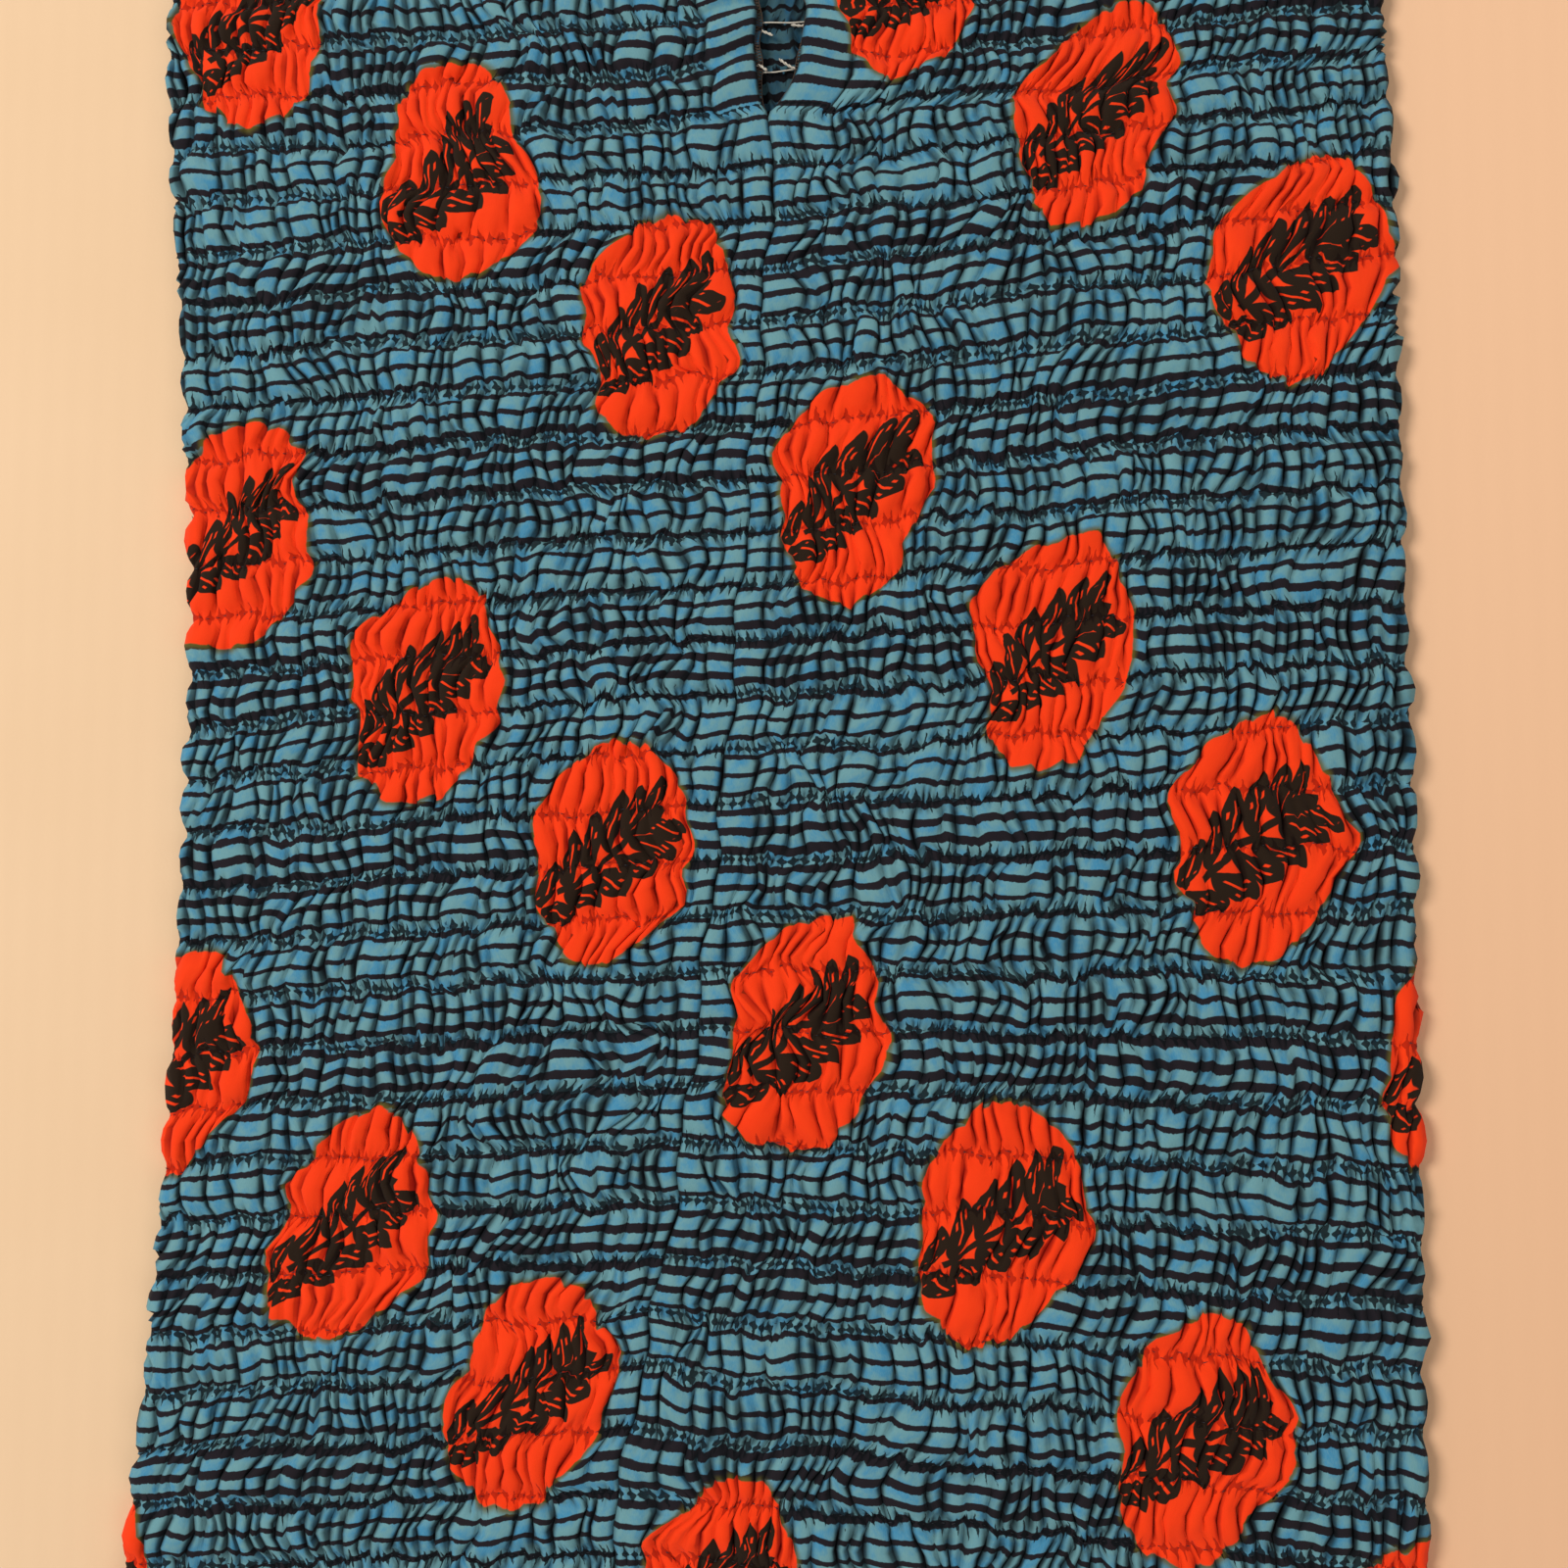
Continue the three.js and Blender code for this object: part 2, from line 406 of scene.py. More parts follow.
def make_half(side, seed):
    """The outer and inner face of a half as grids of points, with its place on the flat cloth, its
    creases, and what its threads need to follow it. Its folds wander more beside the front seam."""
    rng = np.random.default_rng(seed)
    shape = gather_half(rng)
    share, y = np.meshgrid(np.arange(COLUMNS + 1) / COLUMNS, rows["y"])
    across = share * COLUMNS * COLUMN_WIDTH
    free = np.clip(np.minimum(across, across[:, ::-1]) / 15, 0, 1)
    ends = np.clip((DRESS_LENGTH / 2 - np.abs(y)) / 20, 0, 1)
    by_seam = bell(across, 38) * np.clip((SLIT_FOOT - y) / 30, 0.15, 1)
    sway = 2.2 * ripple(rng, across, y, (45, 130), (38, 90))
    slants = (0.75 + 1.1 * by_seam) * ripple(rng, across, y, (26, 60), (13, 30))
    sideways = (sway + slants) * free
    slow_waves = 0.7 * ripple(rng, across, y, (40, 110), (40, 140))
    quick_waves = (0.45 + 0.5 * by_seam) * ripple(rng, across, y, (11, 26), (20, 60))
    waviness = slow_waves + quick_waves
    wriggle = 0.36 * ripple(rng, across, y, (6, 13), (7, 16)) * free
    shift = shape["shift"] + sideways + wriggle
    line = y + (waviness * ends + shape["lift"]) * free
    outer = laid(side, share, shift, line, shape["rise"], shape["swell"])
    inner = laid(side, share, shift, line, shape["rise"] - CLOTH, shape["swell"])
    flat_x = side * np.broadcast_to(np.arange(COLUMNS + 1) * FLAT_COLUMN, share.shape)
    flat_y = np.broadcast_to(rows["flat"][:, None], share.shape)
    drift = 2.5 * np.sin(across / 105 + seed) + 1.0 * np.sin(across / 41 + 2 * seed)
    return {
        "outer": outer,
        "inner": inner,
        "flat": np.stack([flat_x, drift - flat_y], axis=-1),
        "crease": shape["crease"],
        "from_row": shape["from_row"],
        "share": share,
        "shift": sideways + wriggle,
        "line": y + waviness * ends * free,
    }


def grid_quads(height, width, start, flip):
    """The numbers of a grid's points, which begin at start, and its faces."""
    index = start + np.arange(height * width).reshape(height, width)
    corners = [index[:-1, :-1], index[1:, :-1], index[1:, 1:], index[:-1, 1:]]
    quads = np.stack(corners, axis=-1).reshape(-1, 4)
    return index, quads[:, ::-1] if flip else quads


def border(index):
    """The grid's border, down its first column and on round it, ending where it starts."""
    down, along = index[:-1, 0], index[-1, :-1]
    up, back = index[:0:-1, -1], index[0, :0:-1]
    loop = np.concatenate([down, along, up, back])
    return np.append(loop, loop[0])


def join_rims(outer, inner, flip):
    """Triangles between the two faces' borders. The outer border has two edges for each inner one."""
    a, b, c = outer[:-1:2], outer[1::2], outer[2::2]
    d, e = inner[:-1], inner[1:]
    faces = np.concatenate([np.stack(three, axis=-1) for three in ((b, a, d), (b, d, e), (c, b, e))])
    return faces[:, ::-1] if flip else faces


def make_mesh(name, points, quads, triangles, flat, values):
    """A smooth mesh object from arrays in millimetres, with a UV map of its flat cloth in metres."""
    mesh = bpy.data.meshes.new(name)
    corners = np.concatenate([quads.ravel(), triangles.ravel()]).astype(np.int32)
    sizes = np.concatenate([np.full(len(quads), 4), np.full(len(triangles), 3)])
    mesh.vertices.add(len(points))
    mesh.vertices.foreach_set("co", (points * MM).astype(np.float32).ravel())
    mesh.loops.add(len(corners))
    mesh.loops.foreach_set("vertex_index", corners)
    mesh.polygons.add(len(sizes))
    starts = np.concatenate([[0], np.cumsum(sizes)[:-1]]).astype(np.int32)
    mesh.polygons.foreach_set("loop_start", starts)
    mesh.polygons.foreach_set("use_smooth", np.ones(len(sizes), bool))
    uv = mesh.uv_layers.new(name="flat_cloth")
    uv.data.foreach_set("uv", (flat[corners] * MM).astype(np.float32).ravel())
    for label, numbers in values.items():
        attribute = mesh.attributes.new(label, "FLOAT", "POINT")
        attribute.data.foreach_set("value", numbers.astype(np.float32))
    mesh.update()
    mesh.validate()
    piece = bpy.data.objects.new(name, mesh)
    bpy.context.scene.collection.objects.link(piece)
    return piece


def make_layer(name, half, side, first, last, material):
    """One layer of a half as a closed shell, from the first column to the last."""
    fine = np.s_[:, first : last + 1]
    coarse = np.s_[::2, first : last + 1 : 2]
    outer, inner = half["outer"][fine], half["inner"][coarse]
    outer_index, outer_quads = grid_quads(*outer.shape[:2], 0, side < 0)
    inner_index, inner_quads = grid_quads(*inner.shape[:2], outer_index.size, side > 0)
    rim = join_rims(border(outer_index), border(inner_index), side < 0)

    def both(array):
        parts = [array[fine], array[coarse]]
        return np.concatenate([part.reshape(-1, *array.shape[2:]) for part in parts])

    points = np.concatenate([outer.reshape(-1, 3), inner.reshape(-1, 3)])
    values = {name: both(half[name]) for name in ("crease", "from_row")}
    # 1 on the inner face, which the shader darkens as painted shade
    values["wrong_side"] = np.repeat((0.0, 1.0), (outer_index.size, inner_index.size))
    quads = np.concatenate([outer_quads, inner_quads])
    piece = make_mesh(name, points, quads, rim, both(half["flat"]), values)
    piece.data.materials.append(material)
    return piece


# ---------------------------------------------------------------------------------------------------
# Materials


class Socket:
    """A node's output. Arithmetic on it adds Math nodes to its tree."""

    def __init__(self, tree, output):
        self.tree = tree
        self.output = output

    def math(self, operation, *others):
        return self.tree.work_out(operation, self, *others)

    def __add__(self, other):
        return self.math("ADD", other)

    __radd__ = __add__

    def __sub__(self, other):
        return self.math("SUBTRACT", other)

    def __rsub__(self, other):
        return self.tree.work_out("SUBTRACT", other, self)

    def __mul__(self, other):
        return self.math("MULTIPLY", other)

    __rmul__ = __mul__

    def __truediv__(self, other):
        return self.math("DIVIDE", other)

    def __rtruediv__(self, other):
        return self.tree.work_out("DIVIDE", other, self)

    def __pow__(self, other):
        return self.math("POWER", other)

    def __abs__(self):
        return self.math("ABSOLUTE")


class Tree:
    """A node tree that is filled one node at a time."""

    def __init__(self, nodes):
        self.nodes = nodes.nodes
        self.links = nodes.links

    def add(self, kind, settings=None, inputs=None, output=0):
        """Adds a node: its settings first, then its sockets, each given a value or a Socket to link."""
        node = self.nodes.new(kind)
        for name, value in (settings or {}).items():
            setattr(node, name, value)
        for key, value in (inputs or {}).items():
            if isinstance(value, (Socket, list)):
                for link in value if isinstance(value, list) else [value]:
                    self.links.new(link.output, node.inputs[key])
            else:
                node.inputs[key].default_value = value
        return Socket(self, node.outputs[output]) if node.outputs else None

    def work_out(self, operation, *values):
        return self.add("ShaderNodeMath", {"operation": operation}, dict(enumerate(values)))

    def step(self, value, low, high):
        """0 below low, 1 above high and smooth between."""
        settings = {"interpolation_type": "SMOOTHSTEP"}
        inputs = {"Value": value, "From Min": low, "From Max": high}
        return self.add("ShaderNodeMapRange", settings, inputs)

    def mix(self, factor, first, second, blend="MIX"):
        """Two colours mixed. A Mix node's colours are sockets 6 and 7, and its result is output 2."""
        settings = {"data_type": "RGBA", "blend_type": blend}
        return self.add("ShaderNodeMix", settings, {0: factor, 6: first, 7: second}, output=2)

    def given(self, name):
        """One of a Geometry Nodes group's own inputs."""
        return self.add("NodeGroupInput", output=name)

    def scale(self, vector, factor):
        settings = {"operation": "SCALE"}
        return self.add("ShaderNodeVectorMath", settings, {0: vector, "Scale": factor})

    def along(self, vector, axis):
        """One coordinate of a vector, where axis is 0, 1 or 2."""
        return self.add("ShaderNodeSeparateXYZ", {}, {0: vector}, output=axis)

    def attribute(self, name):
        """A value that the mesh has at each of its points."""
        return self.add("ShaderNodeAttribute", {"attribute_name": name}, output=2)

    def noise(self, vector, scale, detail=2.0, roughness=0.5):
        inputs = {"Vector": vector, "Scale": scale, "Detail": detail, "Roughness": roughness}
        return self.add("ShaderNodeTexNoise", {}, inputs)

    def bump(self, height, strength, distance):
        inputs = {"Height": height, "Strength": strength, "Distance": distance}
        return self.add("ShaderNodeBump", {}, inputs)


def colour(red, green, blue):
    """A colour given as it looks on a screen, from 0 to 255, as the linear one that a shader takes."""

    def linear(value):
        share = value / 255
        return share / 12.92 if share <= 0.04045 else ((share + 0.055) / 1.055) ** 2.4

    return (linear(red), linear(green), linear(blue), 1.0)


def start_material(name):
    material = bpy.data.materials.new(name)
    material.use_nodes = True
    material.node_tree.nodes.clear()
    return material, Tree(material.node_tree)


def finish_material(tree, base_color, roughness, normal=None, sheen=0.0, specular=0.3):
    inputs = {"Base Color": base_color, "Roughness": roughness}
    inputs |= {"Sheen Weight": sheen, "Sheen Roughness": 0.5, "Specular IOR Level": specular}
    if normal is not None:
        inputs["Normal"] = normal
    shader = tree.add("ShaderNodeBsdfPrincipled", {}, inputs)
    tree.add("ShaderNodeOutputMaterial", {}, {"Surface": shader})


# The print and the weave, in millimetres of flat cloth
STRIPE_PITCH = 5.8
STRIPE_BAND = 62.0  # length over which the stripes go from thin to thick and back
ROSETTE_COLUMNS = 95.0  # from one column of rosettes to the next
ROSETTE_PITCH = 165.0  # down a column
ROSETTE_DROP = ROSETTE_PITCH / 3
ROSETTE_RADIUS = 34.0
ROSETTE_LOBES = 16
SPRIG_TILT = math.radians(28)
LEAF_PITCH = 10.4  # along the stem
LEAF_SLANT = 0.84  # how far a leaf runs along the stem for each millimetre away from it
LEAF_ACROSS = 0.766  # its distance from the stem over its length
LEAF_LENGTH = 21.0  # of the longest pair
LEAF_PLUMPNESS = 18.0
TIP_LENGTH = 16.0  # of the leaf at the sprig's tip
TICK_PITCH = 3.7  # between the small tucks at a shirring row
TICK_SLANT = 0.22
WEAVE = 14.0  # threads of the weave, in radians for each millimetre


def stripes(tree, v, uneven):
    """A mask of the fine dark stripes, which thicken and thin down the cloth."""
    band = 0.5 + 0.5 * (v * (2 * math.pi / STRIPE_BAND)).math("SINE")
    half_width = 0.78 + 0.55 * tree.step(band, 0.35, 1.0) + 0.35 * (uneven - 0.5)
    along = (v + 0.9 * (uneven - 0.5)) / STRIPE_PITCH
    from_line = abs(along.math("FRACT") - 0.5) * STRIPE_PITCH
    return 1 - tree.step(from_line - half_width, -0.14, 0.14)


def rosette_place(u, v):
    """Distances from the middle of the rosette's cell. Each column is a third lower than the last."""
    column = (u / ROSETTE_COLUMNS).math("FLOOR")
    across = u - (column + 0.5) * ROSETTE_COLUMNS
    dropped = (v + column * ROSETTE_DROP) / ROSETTE_PITCH
    down = (dropped.math("FRACT") - 0.5) * ROSETTE_PITCH
    return across, down


def leaf_sprig(tree, across, down, tilt):
    """Masks of a black sprig with pairs of pointed leaves, and of the vein and dashes open in each."""
    cosine, sine = math.cos(tilt), math.sin(tilt)
    along = across * cosine + down * sine + 2.0
    away = abs(down * cosine - across * sine)
    slid = along - away * LEAF_SLANT
    number = (slid / LEAF_PITCH).math("ROUND")
    beside = abs(slid - number * LEAF_PITCH) * LEAF_ACROSS
    out = away / LEAF_ACROSS
    length = LEAF_LENGTH - 1.8 * abs(number + 0.6) ** 1.4
    part = out / length
    half_width = LEAF_PLUMPNESS * part * (1 - part)
    inside_row = tree.step(abs(number + 0.5), 2.9, 2.7)
    leaf = tree.step(half_width - beside, -0.1, 0.2) * inside_row
    tip = (along - 13.0) / TIP_LENGTH
    tip_leaf = tree.step(TIP_LENGTH * tip * (1 - tip) - away, -0.1, 0.2)
    stem = tree.step(away, 1.2, 0.95) * tree.step(abs(along - 1.0), 25.5, 25.0)
    black = leaf.math("MAXIMUM", stem.math("MAXIMUM", tip_leaf))
    vein = tree.step(beside, 0.42, 0.24) * tree.step(abs(part - 0.5), 0.24, 0.21)
    dash = tree.step(abs((out / 7.4).math("FRACT") - 0.5), 0.16, 0.1)
    dash = dash * tree.step(abs(part - 0.5), 0.24, 0.2)
    dashes = tree.step(abs(beside - 2.0), 0.5, 0.25) * dash
    return black, vein.math("MAXIMUM", dashes) * inside_row


def small_tucks(tree, u, v, from_row, uneven, ragged):
    """A mask of the pointed ticks at each shirring row, where they are widest and nearly meet. The ticks
    are the small tucks' valleys, dented in the bump and painted as shade.
    """
    along = (u + v * TICK_SLANT + 3.0 * uneven + 1.3 * ragged) / TICK_PITCH
    settings = {"voronoi_dimensions": "1D", "feature": "DISTANCE_TO_EDGE"}
    edge = tree.add("ShaderNodeTexVoronoi", settings, {"W": along, "Scale": 1.0, "Randomness": 1.0})
    taper = 0.2 + 0.3 * tree.step(uneven, 0.35, 0.65)
    half_width = 0.7 + 0.36 * ragged + 0.8 * tree.step(from_row, 0.9, 0.2) - from_row * taper
    return tree.step(half_width - edge * TICK_PITCH, -0.12, 0.14)


def make_wax_print():
    """Both faces of the cloth: a blue ground with dark stripes, and orange rosettes with a sprig, with
    shade painted into the creases, the tucks at the rows and the inner face.
    """
    material, tree = start_material("wax_print_cotton")
    flat = tree.add("ShaderNodeUVMap", {"uv_map": "flat_cloth"})
    millimetres = tree.scale(flat, 1 / MM)
    u = tree.along(millimetres, 0)
    v = tree.along(millimetres, 1)
    crease = tree.attribute("crease")
    from_row = tree.attribute("from_row")

    ragged = tree.noise(millimetres, 0.55, 3.0, 0.6)
    cloudy = tree.noise(millimetres, 0.13, 3.0, 0.6)
    threads = tree.add("ShaderNodeMapping", {}, {"Vector": millimetres, "Scale": (3.2, 0.8, 1.0)})
    yarn = tree.noise(threads, 1.0, 2.0, 0.6)
    cloth_blue = tree.mix(tree.step(cloudy, 0.4, 0.68), colour(104, 152, 161), colour(62, 135, 174))
    worn_blue = tree.mix(tree.step(yarn, 0.35, 0.8) * 0.3, cloth_blue, colour(126, 168, 175))
    ground = tree.mix(stripes(tree, v, ragged), worn_blue, colour(32, 28, 34))

    across, down = rosette_place(u, v)
    radius = (across * across + down * down) ** 0.5
    lobe = abs((down.math("ARCTAN2", across) * (ROSETTE_LOBES / 2)).math("COSINE"))
    outside = radius - ROSETTE_RADIUS - 1.3 * lobe + 0.5 * (ragged - 0.5)
    halo = tree.step(outside, 2.3, 0.2)
    orange = tree.step(outside, 0.25, -0.25)
    haloed = tree.mix(halo * 0.85, ground, colour(96, 88, 34))
    spotted = tree.mix(orange, haloed, tree.mix(cloudy, colour(250, 66, 18), colour(238, 56, 18)))
    black, open_marks = leaf_sprig(tree, across, down, SPRIG_TILT)
    printed = tree.mix(black * (1 - open_marks) * orange, spotted, colour(38, 26, 16))

    tucks = small_tucks(tree, u, v, from_row, cloudy, ragged)
    # Painted shade: the creases, the flanks of the folds beside them and the tucks at the shirring rows
    # are darkened as if shadow fell in them
    crease_and_flank_shade = tree.step(crease, 0.1, 0.62) * 0.42 + tree.step(crease, 0.42, 0.9) * 0.58
    blue_painted_shade = crease_and_flank_shade.math("MAXIMUM", tucks * 0.94)
    orange_painted_shade = tree.step(crease, 0.5, 0.95).math("MAXIMUM", tree.step(tucks, 0.5, 1.0) * 0.66)
    shaded_orange = tree.mix(1.0, printed, colour(150, 80, 72), "MULTIPLY")
    # The painted shade's colour, near-black on the blue and dark red on the orange, and how much of it
    # each point takes
    deep = tree.mix(orange, colour(8, 13, 18), shaded_orange)
    depth = orange * orange_painted_shade + (1 - orange) * blue_painted_shade
    creased = tree.mix(depth, printed, deep)
    # Painted shade: the inner face, seen through the slit, is darkened as if it lay in shadow inside the
    # tube
    inside_shade_colour = tree.mix(1.0, creased, colour(150, 156, 162), "MULTIPLY")
    with_inside_shade = tree.mix(tree.attribute("wrong_side"), creased, inside_shade_colour)

    weave = (u * WEAVE).math("SINE") * (v * WEAVE).math("SINE")
    bump = tree.bump(yarn * 0.6 + weave * 0.25 + cloudy - tucks * 2.2, 0.4, 0.13 * MM)
    finish_material(tree, with_inside_shade, 0.84 + 0.1 * yarn, bump, sheen=0.04, specular=0.12)
    return material


def make_thread(name, tint, darker):
    material, tree = start_material(name)
    place = tree.add("ShaderNodeTexCoord", {}, output="Object")
    fibres = tree.noise(place, 2600.0, 3.0, 0.6)
    bump = tree.bump(fibres, 0.4, 0.1 * MM)
    finish_material(tree, tree.mix(fibres, tint, darker), 0.75, bump, sheen=0.1)
    return material


FLUTE_PITCH = 7.9 * MM  # of the corrugated card that the dress lies on


def make_floor_finish():
    material, tree = start_material("pale_card")
    place = tree.add("ShaderNodeTexCoord", {}, output="Object")
    blotches = tree.noise(place, 9.0, 4.0, 0.55)
    grain = tree.noise(place, 700.0, 2.0, 0.5)
    across = tree.along(place, 0)
    upwards = tree.along(place, 1)
    pale = tree.mix(blotches, colour(230, 195, 156), colour(237, 204, 168))
    # Painted light: the card turns warmer and a little darker towards the right, and darker still lower
    # down there, standing in for how the lamps light it
    painted_shade_right = tree.mix(tree.step(upwards, -0.15, 0.3), colour(237, 189, 150), colour(246, 199, 160))
    card_with_painted_light = tree.mix(tree.step(across, -0.25, 0.25), pale, painted_shade_right)
    flutes = (across * (2 * math.pi / FLUTE_PITCH) + blotches).math("SINE")
    bump = tree.bump(grain + flutes * 0.8 * blotches, 0.2, 0.2 * MM)
    finish_material(tree, card_with_painted_light, 0.85, bump)
    return material


# ---------------------------------------------------------------------------------------------------
# Threads and stitches

THREAD_SINK = 0.03  # between a thread and the cloth that it lies on
ELASTIC_RADIUS = 0.26
ELASTIC_STEP = 6
STRAND_RADIUS = 0.23  # of each of the two strands of an elastic thread, where it shows
STRAND_STEP = 0.45
TWIST_LENGTH = 2.8
OVERLOCK_RADIUS = 0.14
OVERLOCK_STEP = 0.9
OVERLOCK_WIDTH = 2.6
OVERLOCK_TURNS = 240  # points of the zigzag along an edge
STITCH_PITCH = 3.5
STITCH_LENGTH = 2
STITCH_THICKNESS = 0.3
SEAM_MARGIN = 4  # columns between a seam and the ends of the elastic threads
INSIDE_HEIGHT = 4.0  # of the front layer's wrong side at the slit, where the threads' ends lie
EDGE_HEIGHT = 4.68  # of the turned edge's upper face
EDGE_THICKNESS = 0.3


def start_group(name, inputs):
    """A Geometry Nodes group with a mesh of paths for its input, and named numbers."""
    group = bpy.data.node_groups.new(name, "GeometryNodeTree")
    for direction in ("INPUT", "OUTPUT"):
        group.interface.new_socket("Geometry", in_out=direction, socket_type="NodeSocketGeometry")
    for label, value in inputs.items():
        kind = "NodeSocketInt" if isinstance(value, int) else "NodeSocketFloat"
        group.interface.new_socket(label, in_out="INPUT", socket_type=kind).default_value = value
    return group, Tree(group)


def finish_group(tree, shape, material):
    smooth = tree.add("GeometryNodeSetShadeSmooth", {}, {0: shape})
    realized = tree.add("GeometryNodeRealizeInstances", {}, {0: smooth})
    finished = tree.add("GeometryNodeSetMaterial", {}, {0: realized, "Material": material})
    tree.add("NodeGroupOutput", {}, {0: finished})


def even_path(tree, step):
    """The group's paths as curves with evenly spaced points."""
    path = tree.add("GeometryNodeMeshToCurve", {}, {0: tree.given("Geometry")})
    return tree.add("GeometryNodeResampleCurve", {"mode": "LENGTH"}, {0: path, "Length": step})


def plan_thread(name, strands, material):
    """A group that lays a thread along each path, of one strand or of several twisted together."""
    group, tree = start_group(name, {"Step": MM, "Strand radius": MM, "Twist length": MM, "Sides": 5})
    path = even_path(tree, tree.given("Step"))
    section = {"Resolution": tree.given("Sides"), "Radius": tree.given("Strand radius")}
    section = tree.add("GeometryNodeCurvePrimitiveCircle", {}, section)
    turns = tree.add("GeometryNodeSplineParameter", output="Length") / tree.given("Twist length")
    normal = tree.add("GeometryNodeInputNormal")
    tangent = tree.add("GeometryNodeInputTangent")
    side = tree.add("ShaderNodeVectorMath", {"operation": "CROSS_PRODUCT"}, {0: tangent, 1: normal})
    meshes = []
    for strand in range(strands):
        angle = (turns + strand / strands) * (2 * math.pi)
        away = tree.given("Strand radius") * (1.0 if strands > 1 else 0.0)
        up = tree.scale(normal, away * angle.math("COSINE"))
        out = tree.scale(side, away * angle.math("SINE"))
        offset = tree.add("ShaderNodeVectorMath", {}, {0: up, 1: out})
        line = tree.add("GeometryNodeSetPosition", {}, {0: path, "Offset": offset})
        inputs = {"Curve": line, "Profile Curve": section, "Fill Caps": True}
        meshes.append(tree.add("GeometryNodeCurveToMesh", {}, inputs))
    finish_group(tree, tree.add("GeometryNodeJoinGeometry", {}, {0: meshes}), material)
    return group


def plan_stitches(material):
    """A group that sets pointed stitches end to end along each path."""
    sizes = {"Pitch": STITCH_PITCH * MM, "Length": STITCH_LENGTH * MM}
    sizes |= {"Thickness": STITCH_THICKNESS * MM, "Seed": 7}
    group, tree = start_group("stitches", sizes)
    path = even_path(tree, tree.given("Pitch"))
    thickness = tree.given("Thickness")
    shape = {"X": thickness, "Y": thickness, "Z": tree.given("Length")}
    scale = tree.add("ShaderNodeCombineXYZ", {}, shape)
    stitch = tree.add("GeometryNodeMeshUVSphere", {}, {"Segments": 4, "Rings": 2, "Radius": 0.5})
    stitch = tree.add("GeometryNodeTransform", {}, {0: stitch, "Scale": scale})
    tangent = tree.add("GeometryNodeInputTangent")
    turn = tree.add("FunctionNodeAlignRotationToVector", {"axis": "Z"}, {"Vector": tangent})
    inputs = {"Min": 0.75, "Max": 1.15, "Seed": tree.given("Seed")}
    uneven = tree.add("FunctionNodeRandomValue", {"data_type": "FLOAT"}, inputs, output=1)
    inputs = {"Points": path, "Instance": stitch, "Rotation": turn, "Scale": uneven}
    finish_group(tree, tree.add("GeometryNodeInstanceOnPoints", {}, inputs), material)
    return group


def sew(name, paths, group, sizes):
    """A piece made by a group along paths, which are arrays of points in millimetres."""
    paths = list(paths)
    points = np.concatenate(paths) * MM
    starts = np.cumsum([0] + [len(path) for path in paths])
    edges = [(i, i + 1) for a, b in zip(starts[:-1], starts[1:]) for i in range(a, b - 1)]
    lines = bpy.data.meshes.new(name + "_paths")
    lines.from_pydata(points.tolist(), edges, [])
    guide = bpy.data.objects.new(name + "_guide", lines)
    bpy.context.scene.collection.objects.link(guide)
    modifier = guide.modifiers.new("sewing", "NODES")
    modifier.node_group = group
    for item in group.interface.items_tree:
        if item.in_out == "INPUT" and item.name in sizes:
            modifier[item.identifier] = sizes[item.name]
    evaluated = guide.evaluated_get(bpy.context.evaluated_depsgraph_get())
    mesh = bpy.data.meshes.new_from_object(evaluated)
    guide.modifiers.remove(modifier)
    bpy.data.objects.remove(guide)
    piece = bpy.data.objects.new(name, mesh)
    bpy.context.scene.collection.objects.link(piece)
    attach(piece, "root")
    return piece


def grid_row(y):
    """The number of the grid's row that lies nearest to y."""
    return int(np.argmin(np.abs(rows["y"] - y)))


def row_elastics(half, side):
    """Where the shirring rows' elastic threads run, under the cloth's wrong side, from seam to seam."""
    depth = CLOTH + THREAD_SINK + ELASTIC_RADIUS
    for row, y in enumerate(shirring_rows):
        first = SLIT_FOLD if row <= SLIT_PUFFS else SEAM_MARGIN
        pick = np.s_[grid_row(y), first : COLUMNS - SEAM_MARGIN + 1 : 8]
        yield laid(side, half["share"][pick], half["shift"][pick], half["line"][pick], -depth, 0.0)


def loose_ends(half, side, rng):
    """The elastic threads' ends, which run out from under the smooth strip into the slit."""
    for y in shirring_rows[: SLIT_PUFFS + 1]:
        row = grid_row(y)
        start = half["inner"][row, SLIT_FOLD]
        edge = half["outer"][row, 0]
        reach = rng.uniform(2.5, 9.0)
        t = np.linspace(0, 1, 41)
        x = start[0] + (edge[0] - side * reach - start[0]) * t
        out = np.clip((t - 0.52) / 0.48, 0, 1)
        swing = rng.uniform(1.5, 4.5) * rng.choice((-1, 1)) * out**2
        wave = rng.normal(0, 1.0) * out * np.sin(2.4 * np.pi * out)
        rise = rng.uniform(0.3, 1.3) * out**2
        yield np.stack([x, y - 1.2 + swing + wave, INSIDE_HEIGHT + rise], axis=-1)


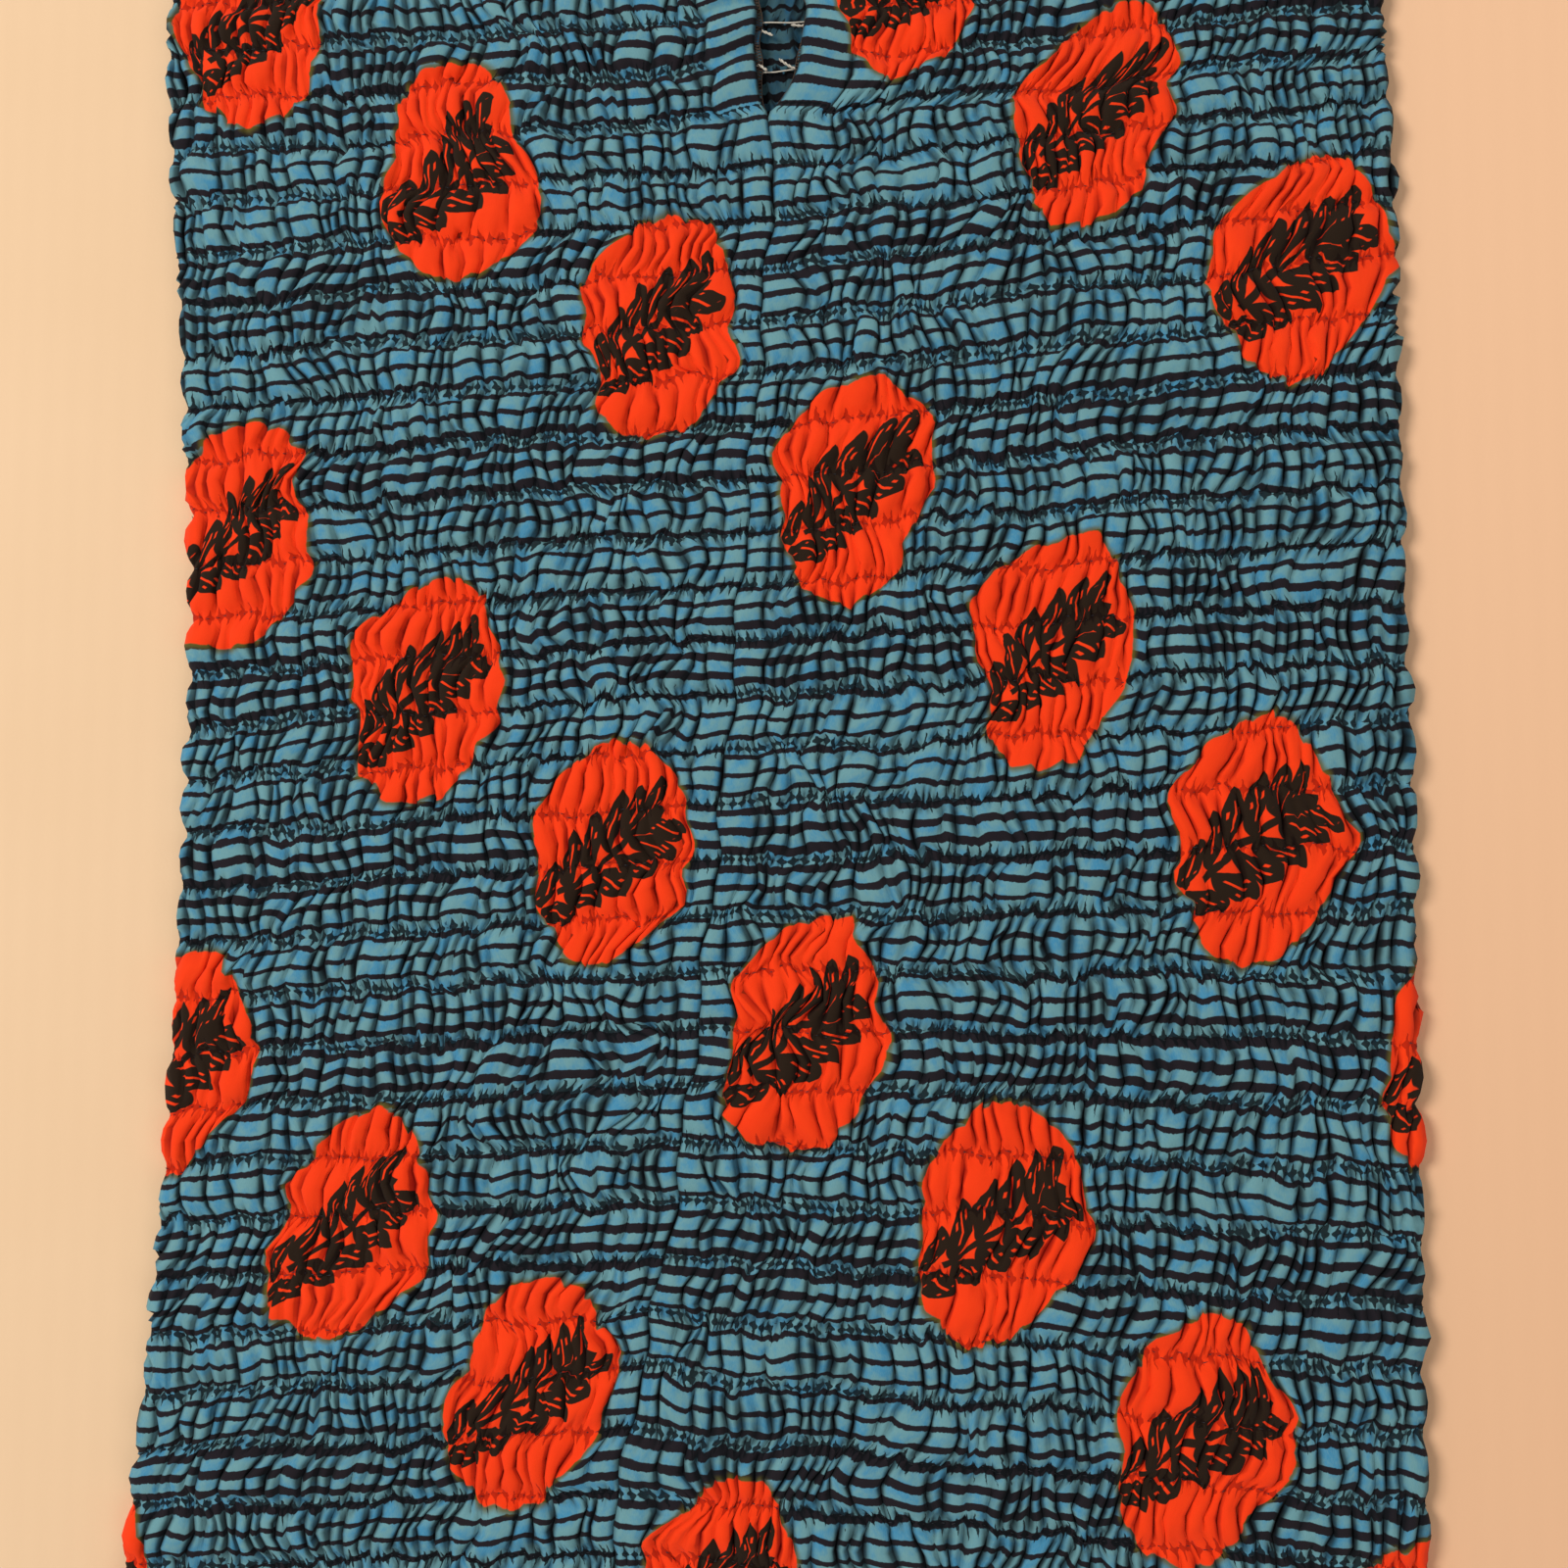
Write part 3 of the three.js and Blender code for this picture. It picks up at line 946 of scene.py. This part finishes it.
def turned_edge(name, half, side, material):
    """The raw edge of the cloth beside the slit. It is pressed back under the smooth strip, and on the
    left it has slipped out into the slit. Returns its piece and the paths of its overlocking."""
    y = np.linspace(DRESS_LENGTH / 2 - 3, DRESS_LENGTH / 2 - SLIT_DEPTH + 3, 105)
    edge = np.interp(-y, -half["outer"][:, 0, 1], half["outer"][:, 0, 0])
    slipped = (1.9 if side < 0 else 0.5) + 0.6 * np.sin(y / 5.1) + 0.35 * np.sin(y / 1.9 + 1)
    slipped = slipped * np.clip((y - y[-1]) / 25, 0, 1)
    across = np.linspace(0, ALLOWANCE, 9)
    x = edge[:, None] + side * (across - slipped[:, None])
    curl = 0.25 * np.exp(-across / 1.5) * np.sin(y / 3.7)[:, None]
    top = np.stack([x, np.broadcast_to(y[:, None], x.shape), EDGE_HEIGHT + curl], axis=-1)
    under = top - (0, 0, EDGE_THICKNESS)
    index, quads = grid_quads(*x.shape, 0, side < 0)
    low_index, low_quads = grid_quads(*x.shape, index.size, side > 0)
    loop, low_loop = border(index), border(low_index)
    walls = np.stack([loop[:-1], low_loop[:-1], low_loop[1:], loop[1:]], axis=-1)
    walls = walls if side > 0 else walls[:, ::-1]
    flat_x = side * (FLAT_COLUMN / COLUMN_WIDTH * across - 12.0)
    flat = np.stack(np.broadcast_arrays(flat_x, y[:, None] - DRESS_LENGTH / 2), axis=-1).reshape(-1, 2)
    points = np.concatenate([top.reshape(-1, 3), under.reshape(-1, 3)])
    still = np.zeros(len(points))
    # The turned edge takes no painted crease shade, but it does take the inner face's painted shade
    values = {"crease": still, "from_row": still + UNGATHERED, "wrong_side": still + 1}
    quads = np.concatenate([quads, low_quads, walls])
    no_triangles = np.zeros((0, 3), int)
    piece = make_mesh(name, points, quads, no_triangles, np.concatenate([flat, flat]), values)
    piece.data.materials.append(material)
    along = np.linspace(y[0], y[-1], OVERLOCK_TURNS)
    rim = np.interp(-along, -y, x[:, 0])
    swing = np.arange(OVERLOCK_TURNS) % 2
    zigzag_height = np.full(OVERLOCK_TURNS, EDGE_HEIGHT + 0.1)
    zigzag = np.stack([rim + side * (OVERLOCK_WIDTH * swing - 0.25), along, zigzag_height], axis=-1)
    looped = np.stack([rim - side * 0.1, along, EDGE_HEIGHT - 0.13 + 0.25 * swing], axis=-1)
    return piece, [zigzag, looped]


def row_stitches(half, first, last):
    """Paths on the right side of the cloth along each shirring row, over its small gathers."""
    for row, y in enumerate(shirring_rows):
        start = SLIT_FOLD if row <= SLIT_PUFFS and first == 0 else first
        yield half["outer"][grid_row(y), start : last + 1]


# ---------------------------------------------------------------------------------------------------
# The camera, the floor and the light


def place_camera():
    """Looks down on the upper part of the dress, a little from the right and from the hem's side."""
    aim = Vector((6, 80, 8)) * MM
    distance = 441 * MM
    look = Vector((-0.0711, 0.056, -0.9959)).normalized()
    across = Vector((0, 1, 0)).cross(-look).normalized()
    turn = Matrix((across, (-look).cross(across), -look)).transposed().to_4x4()
    lens = bpy.data.cameras.new("camera")
    lens.sensor_width = 36
    lens.lens = lens.sensor_width / 2 / math.tan(math.radians(27.5))
    lens.clip_start = 0.01
    camera = bpy.data.objects.new("camera", lens)
    camera.matrix_world = Matrix.Translation(aim - look * distance) @ turn
    bpy.context.scene.collection.objects.link(camera)
    bpy.context.scene.camera = camera


def lay_floor(finish):
    size = 4.0
    mesh = bpy.data.meshes.new("floor")
    corners = [(-size, -size, 0), (size, -size, 0), (size, size, 0), (-size, size, 0)]
    mesh.from_pydata(corners, [], [(0, 1, 2, 3)])
    mesh.materials.append(finish)
    floor = bpy.data.objects.new("floor", mesh)
    bpy.context.scene.collection.objects.link(floor)
    floor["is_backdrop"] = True


def add_light(name, place, aim, size, power, tint):
    lamp = bpy.data.lights.new(name, "AREA")
    lamp.shape = "DISK"
    lamp.size = size
    lamp.energy = power
    lamp.color = tint
    light = bpy.data.objects.new(name, lamp)
    place = Vector(place)
    light.location = place
    light.rotation_euler = (Vector(aim) - place).to_track_quat("-Z", "Y").to_euler()
    bpy.context.scene.collection.objects.link(light)


def light_scene():
    add_light("key", (-1.5, 0.7, 1.9), (0, 0.05, 0), 0.9, 44, (1.0, 0.97, 0.93))
    add_light("fill", (1.6, -1.0, 1.8), (0, 0, 0), 1.6, 8, (1.0, 0.96, 0.9))
    world = bpy.data.worlds.new("room")
    world.use_nodes = True
    background = world.node_tree.nodes["Background"]
    background.inputs["Color"].default_value = (1.0, 0.96, 0.9, 1.0)
    background.inputs["Strength"].default_value = 0.42
    bpy.context.scene.world = world
    bpy.context.scene.view_settings.view_transform = "Standard"


place_camera()
wax_print = make_wax_print()
elastic = make_thread("elastic_thread", colour(226, 220, 208), colour(176, 166, 150))
navy_thread = make_thread("navy_thread", colour(34, 36, 48), colour(20, 22, 30))
brown_thread = make_thread("brown_thread", colour(92, 70, 54), colour(52, 38, 30))
lay_floor(make_floor_finish())
light_scene()

fine_thread = plan_thread("twisted_thread", 2, elastic)
coarse_thread = plan_thread("plain_thread", 1, elastic)
overlock_thread = plan_thread("overlock_thread", 1, brown_thread)
stitching = plan_stitches(navy_thread)
fine_sizes = {"Step": STRAND_STEP * MM, "Strand radius": STRAND_RADIUS * MM, "Sides": 5}
fine_sizes["Twist length"] = TWIST_LENGTH * MM
overlock_sizes = {"Step": OVERLOCK_STEP * MM, "Strand radius": OVERLOCK_RADIUS * MM, "Sides": 4}
coarse_sizes = {"Step": ELASTIC_STEP * MM, "Strand radius": ELASTIC_RADIUS * MM, "Sides": 4}

end_rng = np.random.default_rng(17)
for half_name, side, seed in (("left_half", -1, 11), ("right_half", 1, 29)):
    half = make_half(side, seed)
    back = make_layer(f"{half_name}_back", half, side, SPLIT, COLUMNS, wax_print)
    front = make_layer(f"{half_name}_front", half, side, 0, SPLIT, wax_print)
    paths = row_elastics(half, side)
    elastics = sew(f"{half_name}_elastic", paths, coarse_thread, coarse_sizes)
    paths = loose_ends(half, side, end_rng)
    ends = sew(f"{half_name}_thread_ends", paths, fine_thread, fine_sizes)
    edge, zigzag = turned_edge(f"{half_name}_slit_edge", half, side, wax_print)
    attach(edge, "root")
    overlock = sew(f"{half_name}_overlock", zigzag, overlock_thread, overlock_sizes)
    stitches = {}
    for layer, first, last in (("front", 0, SPLIT), ("back", SPLIT, COLUMNS)):
        paths = row_stitches(half, first, last)
        stitches[layer] = sew(f"{half_name}_{layer}_stitches", paths, stitching, {})
    on_front = [stitches["front"], elastics, ends, edge, overlock]
    for piece, below, sewn in ((back, "floor", [stitches["back"]]), (front, back.name, on_front)):
        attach(piece, "root")
        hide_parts(half_name)
        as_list(sewn)

boxes = {"cad": cad_box, "visual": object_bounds()}
sizes = {name: [list(corner) for corner in box] for name, box in boxes.items()}
